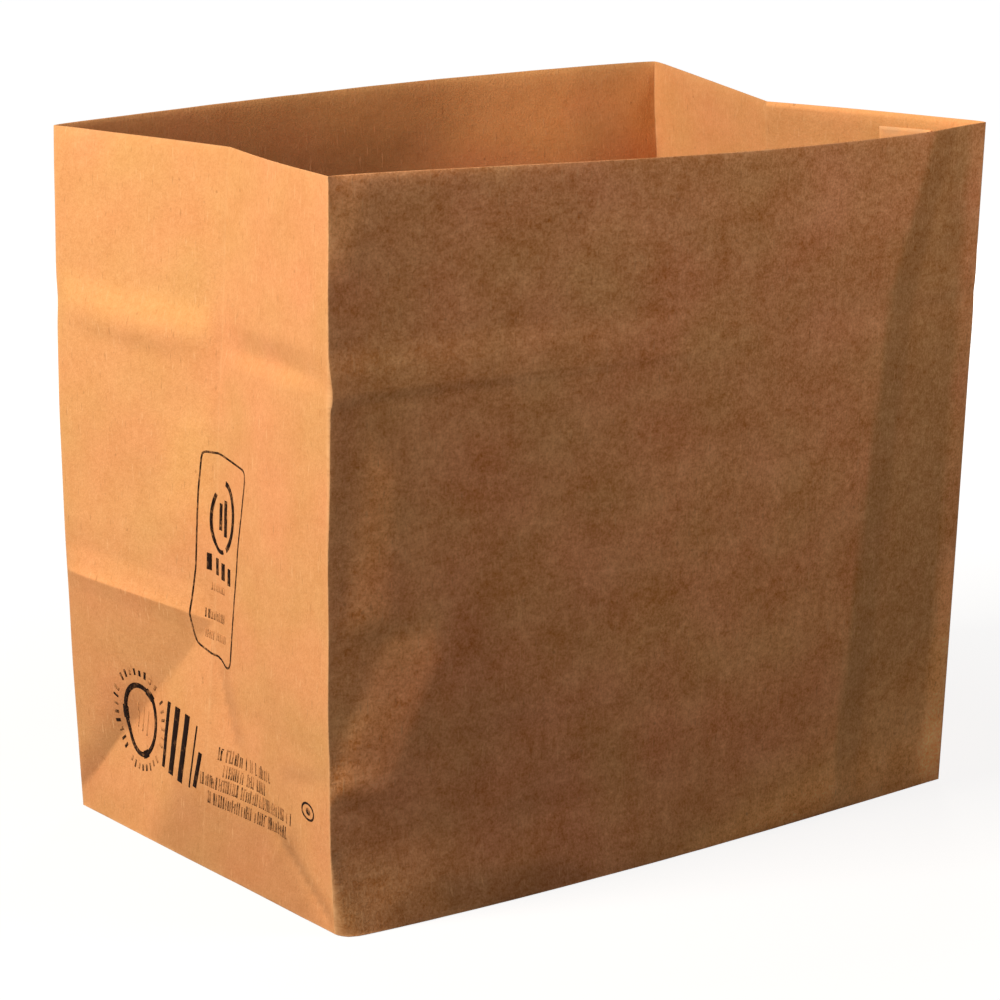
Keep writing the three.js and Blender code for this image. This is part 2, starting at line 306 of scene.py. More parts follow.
# Places with an outline, its corners counter-clockwise in millimetres across and up the panel. Soft
# is how soft the edges are, or each edge from the first corner on. Tone is how much paler or darker
# the colour is painted there, hue shifts it from ruddy to olive, and low is how far the place's foot
# stands out. These tones and hues are mostly painted light and shade. The inner faces have places of
# their own
def facetOf(corners, soft, tone, hue=0, low=0):
    softs = soft if isinstance(soft, tuple) else (soft,) * len(corners)
    return {"corners": corners, "softs": softs, "tone": tone, "hue": hue, "low": low}


facets = {
    "front": [
        # Painted light and shade on the front: lit facets and a pale line by the left fold, painted shade
        # at the foot, a cooler shaded strip beside the slanted fold, painted bounced light low on the right
        # and along the right edge, and broad lighter and darker areas
        facetOf(((-1, 45.5), (18.5, 46), (39, 86), (37, 97), (21, 96), (8, 68)),
                3, 1.34, hue=-0.1, low=2.2),
        facetOf(((2.5, 108), (6.5, 108), (8, 174), (3, 174)), 1.5, 0.93, low=-0.3),
        facetOf(((-1, 98), (1, 98), (1, 165), (-1, 165)), 1, 1.12),
        facetOf(((8, 100), (21, 102), (23, 150), (14, 160)), 3.5, 1.28, low=1.0),
        facetOf(((-4, 214), (6, 214), (16, 252), (-4, 252)), 5, 1.3, low=1.2),
        facetOf(((4, -4), (35, -4), (36, 12), (4, 14)), 1.6, 0.93, low=0.3),
        facetOf(((-2, -5), (4, -5), (3, 28), (-2, 28)), 2, 0.72),
        facetOf(((38, -6), (110, -6), (85, 9), (38, 13)), 4, 0.78),
        facetOf(((204, -5), (251, -5), (252, 250), (235, 250), (216, 187), (210.5, 115)),
                1.4, 0.89, hue=0.5),
        facetOf(((204, 5), (216, 5), (222.5, 115), (210.5, 115)), 2.5, 0.88, hue=0.1),
        facetOf(((210.5, 115), (222.5, 115), (228, 187), (216, 187)), 2.5, 0.85, hue=0.1),
        facetOf(((216, 187), (228, 187), (247, 250), (235, 250)), 2.5, 0.85, hue=0.1),
        facetOf(((110, -12), (272, -12), (272, 62), (222, 42)), 15, 1.22, hue=0.35),
        facetOf(((95, -10), (272, -10), (272, 26), (185, 12)), 8, 1.28, hue=0.1),
        facetOf(((240, 196), (256, 196), (257, 252), (240, 252)), 4, 0.93),
        facetOf(((249, 5), (270, 5), (270, 92), (253, 80)), 5, 1.25),
        facetOf(((252, 50), (262, 50), (262, 235), (252, 235)), 2, 1.08),
        facetOf(((45, 0), (110, 0), (80, 60), (45, 110), (40, 60)), 14, 0.91, hue=-0.2),
        facetOf(((0, -10), (140, -10), (140, 50), (60, 110), (0, 110)), 25, 0.94, hue=-0.1),
        facetOf(((115, 40), (215, 60), (225, 170), (115, 150)), 25, 1.07),
    ],
    "left": [
        # Painted light and shade on the left gusset: lit and shaded faces either side of its creases and of
        # the triangle's folds, a painted highlight above the packing bend, and painted shade at the foot
        facetOf(((87, 85), (169.5, 85), (169, 97), (90, 96)), 0.7, 1.08),
        facetOf(((87, 85), (169.5, 85), (169, 90), (90, 90)), 0.7, 1.05),
        facetOf(((89, 79), (169, 79), (169.5, 85), (87, 85)), 0.7, 0.94),
        facetOf(((90, 181), (168, 185), (168, 196), (92, 192)), 4, 1.08, hue=0.2, low=0.2),
        facetOf(((87, 83.6), (170, 6.7), (172, 85), (88, 85)), 0.5, 0.93),
        facetOf(((96.2, 75), (170, 6.7), (174, 11), (100.3, 79.4)), (0.5, 3, 5, 3), 0.97),
        facetOf(((128, 45.6), (172, 4.8), (178, 11), (134, 52)), (0.5, 3, 6, 10), 0.8),
        facetOf(((150, 25), (96.2, 75), (87.5, 82), (70, 45.5)), (0.5, 0.5, 0.5, 9), 1.03),
        facetOf(((170, 6.7), (130, 43.7), (110, 25), (120, -4), (172, -4)), (0.5, 8, 8, 3, 3), 1.05),
        facetOf(((70, 45.5), (82, 70), (76.6, 72.7), (64.6, 48.2)), (0.5, 3, 4, 4), 0.87),
        facetOf(((2.2, 3.5), (39.6, 23.3), (37.7, 26.8), (0.3, 7)), (0.6, 4, 2.5, 2), 0.82),
        facetOf(((40, 22.5), (2.5, 3), (3.9, 0.3), (41.4, 19.8)), (0.6, 2, 1.5, 4), 1.07),
        facetOf(((2, 28), (55, 28), (45, 72), (2, 72)), 12, 0.95, hue=0.2),
        facetOf(((0, 51), (34, 43), (36, 47), (0, 57)), 2.5, 0.9),
        facetOf(((8, 34), (22, 34), (22, 45), (8, 47)), 5, 1.08),
        facetOf(((4, -10), (128, -10), (100, 27), (28, 27)), 9, 0.8),
        facetOf(((88, 118), (112, 120), (112, 152), (90, 158)), 8, 1.08),
        facetOf(((86, 110), (176, 110), (176, 256), (86, 256)), 6, 1.03, hue=0.16),
    ],
    "right": [],
    "back": [],
    "rightInside": [
        # A painted highlight along the rim's curled lip, and a painted tint on the lit inner face below it
        facetOf(((-3, 238.2), (85, 240.3), (85, 252), (-3, 252)), 0.6, 1.35),
        facetOf(((-5, 90), (175, 90), (175, 255), (-5, 255)), 25, 1.0, hue=0.2),
    ],
    "backInside": [
        # Painted light falling through the open top on the right part of the back wall, and painted shade
        # deeper in and towards the left gusset
        facetOf(((-20, 215), (95, 215), (90, 262), (-20, 262)), 10, 1.08, hue=0.5),
        facetOf(((34, 224), (84, 220), (88, 264), (36, 264)), (9, 22, 9, 9), 1.2),
        facetOf(((10, 190), (36, 190), (36, 230), (14, 230)), 8, 0.82),
        facetOf(((100, 190), (285, 190), (285, 233), (100, 228)), (13, 13, 13, 32), 0.66),
        facetOf(((100, 190), (285, 190), (285, 265), (100, 265)), 25, 1.02, hue=0.4),
    ],
}


def insideFacet(facet, across, z):
    share = np.ones_like(across)
    corners = facet["corners"]
    for (ax, az), (bx, bz), soft in zip(corners, corners[1:] + corners[:1], facet["softs"]):
        inward = ((bx - ax) * (z - az) - (bz - az) * (across - ax)) / math.dist((ax, az), (bx, bz))
        share = np.minimum(share, np.clip(inward / soft / 2 + 0.5, 0, 1))
    return smoothStep(share)


# How much paler or darker a face is painted, mostly as painted light and shade, and how far its hue is
# shifted
def panelTone(face, across, z):
    tone, hue = np.ones_like(across), np.zeros_like(across)
    for facet in facets.get(face, ()):
        inside = insideFacet(facet, across, z)
        tone *= mix(1, facet["tone"], inside)
        hue += facet["hue"] * inside
    return tone - 1, hue


# The long slanted fold near the front panel's right edge stands proud
slantFold = {"across": (204, 210.5, 216, 235), "up": (0, 115, 187, 250), "lift": 2.0,
             "leftReach": 45, "edge": 252}


def slantHeight(across, z):
    at = np.interp(z, slantFold["up"], slantFold["across"])
    left = np.exp(-np.maximum(at - across, 0) / slantFold["leftReach"])
    right = np.clip((slantFold["edge"] - across) / (slantFold["edge"] - at), 0, 1)
    return slantFold["lift"] * np.where(across < at, left, right)


def reliefHeight(kind, s, z):
    width = panelWidth(kind)
    across = s * width
    height = np.zeros_like(s)
    for cx, cz, rx, rz, turn, lift in reliefs[kind]:
        a = math.radians(turn)
        dx, dz = across - cx, z - cz
        p = (dx * math.cos(a) + dz * math.sin(a)) / rx
        q = (-dx * math.sin(a) + dz * math.cos(a)) / rz
        height += lift * np.exp(-(p * p + q * q))
    for facet in facets[kind]:
        levels = [up for _, up in facet["corners"]]
        rise = np.clip((z - min(levels)) / (max(levels) - min(levels)), 0, 1)
        height += mix(facet["low"], 0, rise) * insideFacet(facet, across, z)
    if kind == "front":
        height += slantHeight(across, z)
    fromFold = np.minimum(across, width - across)
    if kind in ("left", "right"):
        fromFold = np.minimum(fromFold, np.abs(across - width / 2) * 2)
    free = sheet["reliefFree"]
    return height * (1 - np.exp(-fromFold / free)) * (1 - np.exp(-z / free))


outwardOf = {"front": (0, -1, 0), "back": (0, 1, 0), "left": (-1, 0, 0), "right": (1, 0, 0)}


# How the rim's lean changes along a panel: slope and start of a line, and its least share
curling = {"front": (-2.5, 1.2, 0.25), "left": (2.6, -0.7, 0.2)}


def curlShare(kind, s):
    if kind not in curling:
        return np.ones_like(s)
    slope, start, least = curling[kind]
    return np.clip(onLine(slope, start, s), least, 1)


# A point on the outer face of the wall, with reliefs and the curl that the cutting blade has left:
# the rim leans in on the front and left panels, and out on the others
def sheetPoint(kind, s, z):
    place = panelPoint(kind, s, z)
    toRim = panelRim(kind, s) - z
    way = -1 if kind in ("front", "left") else 1
    nearRim = np.clip(1 - toRim / sheet["rimCurlFrom"], 0, 1) ** 2
    curl = way * sheet["rimCurl"] * curlShare(kind, s) * nearRim
    curl = curl * (1 - np.exp(-np.minimum(s, 1 - s) * panelWidth(kind) / sheet["rimCurlFree"]))
    lift = reliefHeight(kind, s, z) + curl
    return place + lift[..., None] * np.array(outwardOf[kind])


# Folds and the rim are worn over this reach, and the gussets' crease and the rim less than the rest.
# The bottom cockles less than the walls
wearing = {"reach": 0.6, "creaseLess": 0.6, "rimLess": 0.5, "rimQuicker": 1.5, "bottomFree": 0.35}


def foldWear(kind, s, z, rim):
    width = panelWidth(kind)
    edge = np.minimum(s, 1 - s) * width
    if kind not in wideKinds:
        edge = np.minimum(edge, np.abs(s - 0.5) * width + wearing["creaseLess"])
    fromRim = (rim - z) * wearing["rimQuicker"] + wearing["rimLess"]
    return np.exp(-np.minimum(edge, np.minimum(z, fromRim)) / wearing["reach"])


# What the wall's grid of points holds: places, flat places, and values for the looks by name
def wallGrid(columns, rows):
    shape = (len(rows), len(columns))
    points, flat = np.zeros(shape + (3,)), np.zeros(shape + (2,))
    names = ("foldWear", "wearAndPaintedShading", "paintedShadingHue", "mottled", "paintedShadingInside", "paintedShadingHueInside", "freeToMove")
    values = {name: np.zeros(shape) for name in names}
    for kind in panels:
        own = np.array([i for i, column in enumerate(columns) if column[0] == kind])
        s, along = (np.array([columns[i][k] for i in own]) for k in (1, 2))
        across = s * panelWidth(kind)
        rim = panelRim(kind, s)
        values["mottled"][:, own] = 1.0 if kind == "front" else 0.0
        for r, (zone, value) in enumerate(rows):
            z = np.full_like(s, value) if zone == "low" else mix(apexHeight, rim, value)
            points[r, own] = sheetPoint(kind, s, z)
            flat[r, own] = np.stack([along, z], -1)
            values["wearAndPaintedShading"][r, own], values["paintedShadingHue"][r, own] = panelTone(kind, across, z)
            # The inner faces take their own painted light and shade
            inside = panelTone(kind + "Inside", across, z)
            values["paintedShadingInside"][r, own], values["paintedShadingHueInside"][r, own] = inside
            values["foldWear"][r, own] = foldWear(kind, s, z, rim)
    values["freeToMove"] = 1.0 - values["foldWear"]
    return points, flat, values


# The bottom is a net of four curved edges, filled across. Its inner points join the list
def bottomNet(columns, base, vertices):
    sides = {}
    for kind in panels:
        own = [i for i, column in enumerate(columns) if column[0] == kind]
        sides[kind] = own + [(own[-1] + 1) % len(columns)]
    south, east = sides["front"], sides["right"]
    north, west = sides["back"][::-1], sides["left"][::-1]
    across, along = ([columns[i][1] for i in side[:-1]] + [1.0] for side in (south, east))
    net = np.zeros((len(east), len(south)), int)
    net[:, 0], net[:, -1] = west, east
    net[0], net[-1] = south, north
    for j in range(1, len(east) - 1):
        for i in range(1, len(south) - 1):
            u, v = across[i], along[j]
            edges = mix(base[south[i]], base[north[i]], v) + mix(base[west[j]], base[east[j]], u)
            near = mix(base[south[0]], base[south[-1]], u)
            far = mix(base[north[0]], base[north[-1]], u)
            net[j, i] = len(vertices)
            vertices.append(((edges - mix(near, far, v)) * mm).tolist())
    return net.tolist()


def addObject(name, data):
    thing = bpy.data.objects.new(name, data)
    bpy.context.scene.collection.objects.link(thing)
    return thing


# A smooth mesh: points in metres, places on the flat sheet for each corner, and values for each point
def paperMesh(name, points, faces, values=None, cornerUv=None):
    mesh = bpy.data.meshes.new(name)
    mesh.from_pydata(points, [], faces)
    mesh.update()
    if cornerUv:
        layer = mesh.uv_layers.new(name="sheet")
        layer.data.foreach_set("uv", [number for corner in cornerUv for number in corner])
    for key, numbers in (values or {}).items():
        mesh.attributes.new(key, "FLOAT", "POINT").data.foreach_set("value", numbers)
    mesh.polygons.foreach_set("use_smooth", [True] * len(faces))
    return mesh


# Replaces an object's mesh with what its modifiers make of it
def settle(thing):
    evaluated = thing.evaluated_get(bpy.context.evaluated_depsgraph_get())
    mesh = bpy.data.meshes.new_from_object(evaluated)
    thing.modifiers.clear()
    thing.data = mesh
    return thing


# Gives a surface its thickness in millimetres, and settles it
def thicken(thing, thickness, side, even=False):
    wall = thing.modifiers.new("wall", "SOLIDIFY")
    wall.thickness = thickness * mm
    wall.offset = side
    wall.use_even_offset = even
    return settle(thing)


def buildSkin():
    columns, rows = wallColumns(), wallRows()
    count, wallCount = len(columns), len(rows) * len(columns)
    points, flat, values = wallGrid(columns, rows)
    vertices = (points.reshape(-1, 3) * mm).tolist()
    faces, cornerUv = [], []
    perimeter = 2 * (sheet["width"] + sheet["depth"])
    margin = sheet["margin"]      # the bottom's own patch lies below the wall on the flat sheet
    for r in range(len(rows) - 1):
        for c in range(count):
            n = (c + 1) % count
            corners = ((r, c), (r, n), (r + 1, n), (r + 1, c))
            faces.append(tuple(row * count + column for row, column in corners))
            for row, column in corners:
                along, up = flat[row, column]
                along = perimeter if n == 0 and column == 0 else along
                cornerUv.append((along * mm, (up + 2 * margin) * mm))
    net = bottomNet(columns, points[0], vertices)
    for lower, upper in zip(net, net[1:]):
        for i in range(len(lower) - 1):
            face = (lower[i], upper[i], upper[i + 1], lower[i + 1])
            faces.append(face)
            for k in face:
                x, y = vertices[k][:2]
                cornerUv.append(((x / mm + sheet["width"]) * mm, (y / mm + margin) * mm))
    bottomOnly = len(vertices) - wallCount
    for name, field in values.items():
        below = wearing["bottomFree"] if name == "freeToMove" else 0.0
        values[name] = field.reshape(-1).tolist() + [below] * bottomOnly
    skin = addObject("paperSkin", paperMesh("paperSkin", vertices, faces, values, cornerUv))
    print("skin", len(vertices), "points", len(faces), "faces")
    return skin


# Each value goes into the input of that name or number, by a link if it is another node's output
def addNode(tree, kind, inputs=None, **settings):
    node = tree.nodes.new(kind)
    for name, value in settings.items():
        setattr(node, name, value)
    for key, value in (inputs or {}).items():
        socket = node.inputs[key]
        if isinstance(value, bpy.types.NodeSocket):
            tree.links.new(value, socket)
        else:
            socket.default_value = value
    return node


def mathNode(tree, operation, a, b=None, c=None, clamp=False):
    inputs = {0: a}
    if b is not None:
        inputs[1] = b
    if c is not None:
        inputs[2] = c
    return addNode(tree, "ShaderNodeMath", inputs, operation=operation, use_clamp=clamp).outputs[0]


def vectorNode(tree, operation, a, b=None, scale=None):
    inputs = {0: a}
    if b is not None:
        inputs[1] = b
    if scale is not None:
        inputs["Scale"] = scale
    node = addNode(tree, "ShaderNodeVectorMath", inputs, operation=operation)
    return node.outputs["Value" if operation == "LENGTH" else "Vector"]


def mixColour(tree, factor, a, b, blend="MIX"):
    inputs = {0: factor, 6: a, 7: b}
    return addNode(tree, "ShaderNodeMix", inputs, data_type="RGBA", blend_type=blend).outputs[2]


def ramp(tree, value, low, high, outLow=0.0, outHigh=1.0):
    inputs = {"Value": value, "From Min": low, "From Max": high, "To Min": outLow, "To Max": outHigh}
    return addNode(tree, "ShaderNodeMapRange", inputs, clamp=True).outputs[0]


def attribute(tree, name):
    return addNode(tree, "ShaderNodeAttribute", attribute_name=name).outputs["Fac"]


# A noise on the flat sheet, in metres, stretched along and turned by degrees
def stretchedNoise(tree, scale, stretch=(1, 1, 1), turn=0.0, detail=3.0, rough=0.55, seed=0.0):
    paper = addNode(tree, "ShaderNodeUVMap", uv_map="sheet").outputs[0]
    rotation = (0, 0, math.radians(turn))
    inputs = {"Vector": paper, "Scale": stretch, "Rotation": rotation, "Location": (seed, seed, 0)}
    placed = addNode(tree, "ShaderNodeMapping", inputs).outputs[0]
    inputs = {"Vector": placed, "Scale": scale, "Detail": detail, "Roughness": rough}
    return addNode(tree, "ShaderNodeTexNoise", inputs).outputs["Fac"]


def newMaterial(name):
    material = bpy.data.materials.new(name)
    material.use_nodes = True
    return material, material.node_tree


# The paper's looks. Cuts and ranges are values of a noise. Bumps are a depth in metres and a strength
kraft = {
    "base": (0.70, 0.311, 0.122, 1), "pale": (0.80, 0.44, 0.21, 1), "deep": (0.38, 0.15, 0.05, 1),
    "ruddy": (1.04, 0.955, 1.05, 1), "olive": (0.93, 1.03, 0.95, 1),
    "fine": {"formation": 0.36, "grain": 0.6},     # shares of the fine noises in the dye
    "dye": (1.3, 2.1, 3.3), "plainDye": 0.28,      # unevenness by channel, and its share off the front
    "drift": (0.3, 0.7, 0.2, 0.8),                 # a range, and the hues from ruddy to olive it gives
    "fibreCut": (0.66, 0.80), "paleCover": 0.55, "darkCover": 0.45,
    "speckScale": 170, "speckRare": 0.86, "speckEdge": (0.05, 0.13), "speckCover": 0.5,
    "wearRange": (0.35, 0.65), "wear": (0.5, 0.3),
    "roughRange": (0.2, 0.8), "roughness": (0.82, 0.94), "specular": 0.25,
    "fibreRelief": 0.4, "fineBump": (0.0002, 1.0), "cockleBump": (0.0007, 0.5),
}
kraftNoises = {
    "formation": {"scale": 400, "detail": 2, "rough": 0.5, "seed": 3.1},
    "grain": {"scale": 1250, "stretch": (1, 0.8, 1), "rough": 0.6, "seed": 17.0},
    "dye": {"scale": 45, "detail": 6.5, "rough": 0.92, "seed": 51.0},
    "drift": {"scale": 30, "detail": 1, "rough": 0.6, "seed": 41.0},
    "fibres": {"scale": 900, "stretch": (1, 0.16, 1), "turn": 12, "detail": 1, "rough": 0.5, "seed": 1.3},
    "crossed": {"scale": 900, "stretch": (1, 0.16, 1), "turn": -35, "detail": 1, "rough": 0.5, "seed": 5.9},
    "dark": {"scale": 820, "stretch": (1, 0.22, 1), "turn": -12, "detail": 1, "rough": 0.5, "seed": 13.7},
    "wear": {"scale": 150, "detail": 1, "seed": 21.0},
    "cockle": {"scale": 90, "detail": 2, "seed": 31.0},
}


def kraftMaterial():
    material, tree = newMaterial("kraftPaper")
    shader = tree.nodes["Principled BSDF"]
    noise = {name: stretchedNoise(tree, **values) for name, values in kraftNoises.items()}

    # Uneven colour of every size, strongest in blue, at full strength on the front and weaker on the other
    # faces
    plain = kraft["plainDye"]
    strength = mathNode(tree, "MULTIPLY_ADD", attribute(tree, "mottled"), 1 - plain, plain)
    centred = mathNode(tree, "SUBTRACT", noise["dye"], 0.5)
    for name, share in kraft["fine"].items():
        field = mathNode(tree, "MULTIPLY_ADD", noise[name], share, -share / 2)
        centred = mathNode(tree, "ADD", centred, field)
    centred = mathNode(tree, "MULTIPLY", centred, strength)
    # The facets' painted light and shade, and the seam's paler edge, scale the colour
    tone = mathNode(tree, "ADD", attribute(tree, "wearAndPaintedShading"), 1.0)
    channels = {}
    for name, share in zip(("Red", "Green", "Blue"), kraft["dye"]):
        dyed = mathNode(tree, "MULTIPLY_ADD", centred, share, 1.0)
        channels[name] = mathNode(tree, "MULTIPLY", tone, dyed)
    dyed = addNode(tree, "ShaderNodeCombineColor", channels).outputs[0]
    colour = mixColour(tree, 1.0, kraft["base"], dyed, "MULTIPLY")

    drift = ramp(tree, noise["drift"], *kraft["drift"])
    # The facets' painted shade tint is added to the random hue drift
    hue = mathNode(tree, "ADD", drift, attribute(tree, "paintedShadingHue"), clamp=True)
    shade = mixColour(tree, hue, kraft["ruddy"], kraft["olive"])
    colour = mixColour(tree, 1.0, colour, shade, "MULTIPLY")

    # Pale and dark fibres, each set a stretched noise cut at its top, and dark specks
    strands = mathNode(tree, "MAXIMUM", noise["fibres"], noise["crossed"])
    pale = ramp(tree, strands, *kraft["fibreCut"])
    dark = ramp(tree, noise["dark"], *kraft["fibreCut"])
    paper = addNode(tree, "ShaderNodeUVMap", uv_map="sheet").outputs[0]
    cells = addNode(tree, "ShaderNodeTexVoronoi", {"Vector": paper, "Scale": kraft["speckScale"]}).outputs
    chance = addNode(tree, "ShaderNodeSeparateColor", {0: cells["Color"]}).outputs[0]
    picked = mathNode(tree, "GREATER_THAN", chance, kraft["speckRare"])
    speck = mathNode(tree, "MULTIPLY", ramp(tree, cells["Distance"], *kraft["speckEdge"], 1, 0), picked)
    for field, cover, shade in ((pale, "paleCover", "pale"), (dark, "darkCover", "deep"),
                                (speck, "speckCover", "deep")):
        colour = mixColour(tree, mathNode(tree, "MULTIPLY", field, kraft[cover]), colour, kraft[shade])

    # Folds are worn pale, unevenly
    uneven = mathNode(tree, "MULTIPLY_ADD", ramp(tree, noise["wear"], *kraft["wearRange"]), *kraft["wear"])
    worn = mathNode(tree, "MULTIPLY", attribute(tree, "foldWear"), uneven)
    colour = mixColour(tree, worn, colour, kraft["pale"])
    tree.links.new(colour, shader.inputs["Base Color"])

    shader.inputs["Specular IOR Level"].default_value = kraft["specular"]
    rough = ramp(tree, noise["formation"], *kraft["roughRange"], *kraft["roughness"])
    tree.links.new(rough, shader.inputs["Roughness"])
    relief = mathNode(tree, "MULTIPLY_ADD", strands, kraft["fibreRelief"], noise["grain"])
    bumped = {}
    for height, (depth, amount) in ((relief, kraft["fineBump"]), (noise["cockle"], kraft["cockleBump"])):
        inputs = {"Height": height, "Distance": depth, "Strength": amount, **bumped}
        bumped = {"Normal": addNode(tree, "ShaderNodeBump", inputs).outputs[0]}
    tree.links.new(bumped["Normal"], shader.inputs["Normal"])
    return material


# Cockling of the open paper, as a node tree on the skin
cockling = {"waveSize": 34.0, "waveDepth": 0.55, "rippleSize": 11.0, "rippleDepth": 0.16,
            "detail": 1.5, "seed": 4.0}


# A group that takes geometry and the named inputs. It ends by giving its geometry the material
def startGroup(name, inputs):
    tree = bpy.data.node_groups.new(name, "GeometryNodeTree")
    face = tree.interface
    for label, kind in {"Geometry": "Geometry", **inputs}.items():
        face.new_socket(label, in_out="INPUT", socket_type="NodeSocket" + kind)
    face.new_socket("Geometry", in_out="OUTPUT", socket_type="NodeSocketGeometry")
    return tree, tree.nodes.new("NodeGroupInput").outputs


def finishGroup(tree, geometry, material):
    solid = addNode(tree, "GeometryNodeRealizeInstances", {0: geometry}).outputs[0]
    dressed = addNode(tree, "GeometryNodeSetMaterial", {"Geometry": solid, "Material": material})
    addNode(tree, "NodeGroupOutput", {0: dressed.outputs[0]})
    return tree


def storedValue(tree, name, kind="FLOAT"):
    return addNode(tree, "GeometryNodeInputNamedAttribute", {"Name": name}, data_type=kind).outputs[0]


def cocklingTree(material):
    tree, source = startGroup("cockledPaper", dict.fromkeys(cockling, "Float"))
    uv = storedValue(tree, "sheet", "FLOAT_VECTOR")
    lifts = []
    for size, depth in (("waveSize", "waveDepth"), ("rippleSize", "rippleDepth")):
        scale = mathNode(tree, "DIVIDE", 1 / mm, source[size])
        inputs = {"Vector": uv, "W": source["seed"], "Scale": scale, "Detail": source["detail"]}
        field = addNode(tree, "ShaderNodeTexNoise", inputs, noise_dimensions="4D").outputs["Fac"]
        centred = mathNode(tree, "MULTIPLY_ADD", field, 2.0, -1.0)
        lifts.append(mathNode(tree, "MULTIPLY", centred, mathNode(tree, "MULTIPLY", source[depth], mm)))
    total = mathNode(tree, "MULTIPLY", mathNode(tree, "ADD", *lifts), storedValue(tree, "freeToMove"))
    normal = tree.nodes.new("GeometryNodeInputNormal").outputs[0]
    offset = vectorNode(tree, "SCALE", normal, scale=total)
    moved = addNode(tree, "GeometryNodeSetPosition", {"Geometry": source["Geometry"], "Offset": offset})
    return finishGroup(tree, moved.outputs[0], material)


def setInputs(modifier, values):
    for item in modifier.node_group.interface.items_tree:
        if item.item_type == "SOCKET" and item.in_out == "INPUT" and item.name in values:
            modifier[item.identifier] = values[item.name]


# Gives the inner face, whose points follow the outer ones, its own painted light and shade
def dressInside(mesh, outerCount):
    total = len(mesh.vertices)
    for outer, inner in (("wearAndPaintedShading", "paintedShadingInside"), ("paintedShadingHue", "paintedShadingHueInside")):
        own, other = np.zeros(total), np.zeros(total)
        mesh.attributes[outer].data.foreach_get("value", own)
        mesh.attributes[inner].data.foreach_get("value", other)
        own[outerCount:] = other[outerCount:]
        mesh.attributes[outer].data.foreach_set("value", own)
        mesh.attributes.remove(mesh.attributes[inner])


def paperBag(material):
    skin = buildSkin()
    wave = skin.modifiers.new("cockledPaper", "NODES")
    wave.node_group = cocklingTree(material)
    setInputs(wave, cockling)
    settle(skin)
    bag = addObject("kraftBag", skin.data.copy())
    thicken(bag, sheet["paper"], -1, True)
    dressInside(bag.data, len(skin.data.vertices))
    print("bag", sum(len(face.vertices) - 2 for face in bag.data.polygons), "triangles")
    return skin, bag


# Marks in dark ink on the left gusset. All are in millimetres across from the front fold and up
ink = {"lift": 0.07, "thick": 0.02, "piece": 1.1, "seed": 11,
       "colour": (0.012, 0.0045, 0.0025, 1), "roughness": 0.7, "specular": 0.06,
       "patchyShare": 0.6, "grainShare": 0.7, "bare": (0.78, 1.12)}
inkNoises = {
    "grain": {"scale": 1300, "stretch": (1, 0.6, 1), "rough": 0.7, "seed": 2.0},
    "patchy": {"scale": 260, "detail": 2, "seed": 6.0},
}
# An open frame, by its corners, and how far from each its rounding starts
frameMark = {
    "path": ((92.8, 142.6), (82.5, 143.0), (62.8, 141.2), (62.2, 138.0), (66.5, 116.0),
             (71.0, 88.0), (73.2, 73.0), (75.0, 70.8), (81.0, 73.5), (95.3, 75.8),
             (97.3, 85.0), (95.0, 102.0), (94.3, 129.5)),
    "line": 0.75, "fade": 0.15, "corner": 1.2,
}
# Arcs are line, start and finish in degrees. Bars are a place across and half a height
ringMark = {"middle": (79.4, 122.0), "radii": (8.0, 12.0), "lean": -10,
            "arcs": ((1.9, -55, 95), (1.5, 150, 290)),
            "bars": ((81.3, 4.6), (77.4, 6.2)), "barWide": 2.3}
# A round mark with three thick places, strokes inside and ticks outside, some of them missing
badge = {"middle": (128.8, 41.2), "radii": (9.2, 12.2), "line": 1.8,
         "beads": (55, 175, 290), "beadWide": 2.8, "beadHalf": 11,
         "strokes": 3, "strokeFoot": (-3, -5), "strokeHead": (-4, 4), "strokeStep": (3, 1),
         "strokeWide": 0.5, "strokeFade": 0.45,
         "ticks": 34, "gap": 3.4, "tick": (0.95, 2.8), "oval": 1.12, "missing": (4, 9),
         "tall": (0.75, 1.1), "wide": (0.8, 1.3), "fade": (0.1, 0.4)}
# Slanted bars: place across, width, middle up and height
tallBars = ((112.3, 1.9, 40.0, 23.5), (106.6, 3.3, 39.0, 24.0), (99.8, 3.3, 38.0, 24.0),
            (93.0, 0.9, 36.8, 22.0), (89.6, 2.2, 33.0, 12.5))
tallLean, tallFade = 1.2, 0.04
# Rows of short strokes: start and finish across, middle up, height and fade
lineRows = (
    (78.0, 45.0, 41.3, 4.4, 0.30), (74.5, 48.5, 36.0, 4.2, 0.30),
    (87.5, 29.0, 31.0, 4.2, 0.30), (82.5, 32.0, 25.5, 4.2, 0.25),
    (86.8, 76.0, 97.2, 2.6, 0.48), (89.5, 76.8, 87.4, 3.2, 0.34), (90.0, 77.0, 80.4, 2.8, 0.45),
)
# What each stroke may be, how often one is crossed, and how often a gap follows
rowStroke = {"wide": (0.45, 0.6, 0.6, 0.9), "tall": (0.8, 1, 1, 1), "fadeVaries": 0.1,
             "crossed": 0.35, "crossAt": (-0.4, 0, 0.4), "crossLong": 1.1, "crossWide": 0.5,
             "steps": (1.15, 1.3, 1.3, 1.7), "gap": 1.6, "gapped": 0.1}
# Short thick bars in a slanted row, and a small ring round a dot
boldRow = {"from": (88.2, 105.4), "to": (74.0, 102.8), "count": 4, "tall": 5.8, "wide": (2.6, 2.08)}
dotRing = {"middle": (16.5, 37.3), "radii": (4.4, 2.8), "line": 0.8,
           "dot": (1.1, 0.7), "dotLine": 1.2, "dotFade": 0.2}


